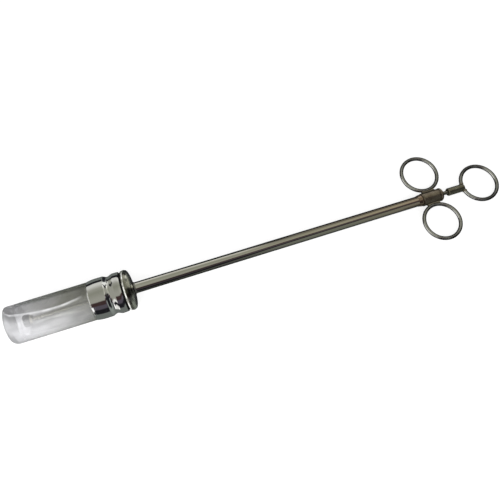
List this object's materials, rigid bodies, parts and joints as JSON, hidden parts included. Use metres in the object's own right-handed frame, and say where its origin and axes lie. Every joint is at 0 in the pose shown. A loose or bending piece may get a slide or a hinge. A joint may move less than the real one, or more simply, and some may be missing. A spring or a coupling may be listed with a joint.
{
  "type": "bolus applicator",
  "caption": "Long tube applicator with a frosted open pocket head in a chromed ferrule, wire finger rings and a sliding, turning thumb-ring plunger.",
  "frame": {"origin": "centre of the round mouth at the soft head's open front end", "axes": "+X along the barrel from the mouth towards the thumb ring, +Y across the barrel towards the left finger ring, +Z square to the plane of the three rings"},
  "size_m": [0.4757, 0.0916, 0.0362],
  "materials": {
    "frosted_plastic": "frosted, translucent, soft to the touch",
    "chrome_plate": "bright chrome plate over spun brass",
    "brass": "turned, bare",
    "tinned_steel": "tinned sheet, dull",
    "black_rubber": "moulded, matt black",
    "dull_plate": "dull nickel plate, grainy back, rim rubbed bright",
    "solder": "dull grey solder",
    "barrel_steel": "satin drawn tube, browner towards the collar",
    "browned_steel": "heat-browned steel",
    "collar_steel": "brown-grey, matt",
    "ring_wire": "drawn steel wire, dull, fine draw marks",
    "braze": "dulled braze metal",
    "rod_steel": "bright drawn steel",
    "socket_steel": "olive-grey turned steel",
    "button_plastic": "dark moulded plastic"
  },
  "bodies": {
    "barrel": {"end_cap": "dull_plate", "cap_solder": "solder", "barrel_tube": "barrel_steel", "front_guide_bush": "brass", "barrel_thimble": "browned_steel", "collar": "collar_steel", "finger_ring_left": "ring_wire", "finger_ring_right": "ring_wire", "finger_ring_brazes": "braze", "gland_nut": "collar_steel", "rear_guide_bush": "brass", "packing_washer": "brass"},
    "gasket": {"cap_gasket": "black_rubber"},
    "head_unit": {"head": "frosted_plastic", "ferrule": "chrome_plate", "threaded_insert": "brass", "backing_ring": "tinned_steel"},
    "packing": {"packing_ring": "black_rubber"},
    "plunger": {"plunger_rod": "rod_steel", "plunger_button": "button_plastic", "button_lock_nut": "rod_steel", "thumb_socket": "socket_steel", "socket_pin": "rod_steel", "thumb_ring": "ring_wire", "thumb_ring_brazes": "braze"}
  },
  "joints": [
    {"name": "head_advance", "type": "slide", "parent": "barrel", "child": "gasket", "axis": [-1, 0, 0], "range_m": [0, 0.0076]},
    {"name": "head_turn", "type": "hinge", "parent": "gasket", "child": "head_unit", "pos_m": [0.0935, 0, 0], "axis": [-1, 0, 0], "range_deg": [0, 2160]},
    {"name": "plunger_twist", "type": "hinge", "parent": "barrel", "child": "packing", "pos_m": [0.3994, 0, 0], "axis": [1, 0, 0], "continuous": true},
    {"name": "plunger_stroke", "type": "slide", "parent": "packing", "child": "plunger", "axis": [1, 0, 0], "range_m": [-0.0072, 0.07]}
  ],
  "couplings": [
    {"joint": "head_advance", "follows": "head_turn", "m_per_rad": 0.00019894}
  ]
}
